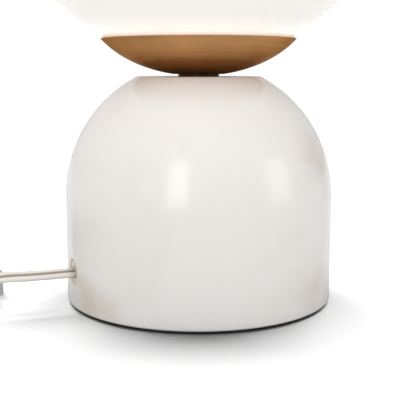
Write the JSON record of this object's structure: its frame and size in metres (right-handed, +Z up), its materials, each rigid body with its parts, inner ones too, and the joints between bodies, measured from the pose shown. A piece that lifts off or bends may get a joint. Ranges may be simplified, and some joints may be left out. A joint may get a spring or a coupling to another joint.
{
  "type": "glass globe table lamp",
  "caption": "Table lamp: opal glass globe resting in a shallow brass bowl on a domed marble foot, screw-base bulb inside, flat clear cord with rocker switch and flat plug.",
  "frame": {"origin": "centre of the foot's underside, on the table top", "axes": "+Z up along the lamp's axis, the cord leaves the foot towards -X"},
  "size_m": [0.3115, 0.2795, 0.3173],
  "materials": {
    "stone": "polished marble",
    "brass": "satin brushed antique brass",
    "opal_glass": "opal white glass",
    "clear_pvc": "clear soft plastic over two cores",
    "pad": "matt black foam",
    "zinc": "zinc plated steel",
    "clear_ring": "translucent silicone",
    "black_plastic": "fine moulded black",
    "white_ceramic": "unglazed steatite",
    "contact_brass": "bright brass",
    "nickel": "nickel plated",
    "bulb_white": "white moulded plastic",
    "bulb_glass": "opal bulb shell",
    "black_glass": "glossy black insulator",
    "board": "white printed board",
    "green_board": "green printed board with parts",
    "led_yellow": "phosphor chips",
    "clear_case": "translucent moulded plastic",
    "key_white": "gloss moulded key",
    "core_brown": "brown core insulation",
    "core_blue": "blue core insulation"
  },
  "bodies": {
    "lamp": {"marble_base": "stone", "foot_pad": "pad", "cord_bushing": "clear_ring", "base_washer": "zinc", "lock_washer": "zinc", "base_nut": "zinc", "threaded_rod": "zinc", "bowl_spacer": "clear_ring", "brass_bowl": "brass", "seat_ring": "clear_ring", "bowl_washer": "zinc", "bowl_nut": "zinc", "holder_cap": "black_plastic", "lock_screw": "zinc", "holder_insert": "white_ceramic", "terminal_screws": "contact_brass", "centre_contact": "contact_brass", "side_contact": "contact_brass", "holder_shell": "black_plastic", "inner_cord": "clear_pvc", "live_core": "core_brown", "neutral_core": "core_blue", "switch_lower": "clear_case", "switch_upper": "clear_case", "switch_screws": "zinc", "switch_contacts": "contact_brass", "cord_tie": "black_plastic", "plug_relief": "clear_case", "plug_body": "clear_case", "plug_pins": "nickel", "pin_sleeves": "black_plastic", "cord_coil": "clear_pvc", "cord_lead": "clear_pvc", "cord_link": "clear_pvc", "cord_tail": "clear_pvc"},
    "globe": {"glass_globe": "opal_glass"},
    "bulb_lift": {"bulb_tip": "nickel", "bulb_insulator": "black_glass"},
    "bulb": {"bulb_screw_cap": "nickel", "bulb_collar": "bulb_white", "bulb_envelope": "bulb_glass", "led_board": "board", "led_chips": "led_yellow", "driver_board": "green_board"},
    "switch_key": {"switch_rocker": "key_white", "contact_bridge": "contact_brass"}
  },
  "joints": [
    {"name": "globe_lift", "type": "slide", "parent": "lamp", "child": "globe", "axis": [0, 0, 1], "range_m": [0, 0.16]},
    {"name": "bulb_rise", "type": "slide", "parent": "lamp", "child": "bulb_lift", "axis": [0, 0, 1], "range_m": [0, 0.02535]},
    {"name": "bulb_turn", "type": "hinge", "parent": "bulb_lift", "child": "bulb", "pos_m": [0, 0, 0.15], "axis": [0, 0, 1], "range_deg": [0, 2520]},
    {"name": "switch_rock", "type": "hinge", "parent": "lamp", "child": "switch_key", "pos_m": [-0.199, 0.076, 0.013], "axis": [-1, 0, 0], "range_deg": [0, 12]}
  ],
  "couplings": [
    {"joint": "bulb_rise", "follows": "bulb_turn", "m_per_rad": 0.00057614}
  ]
}
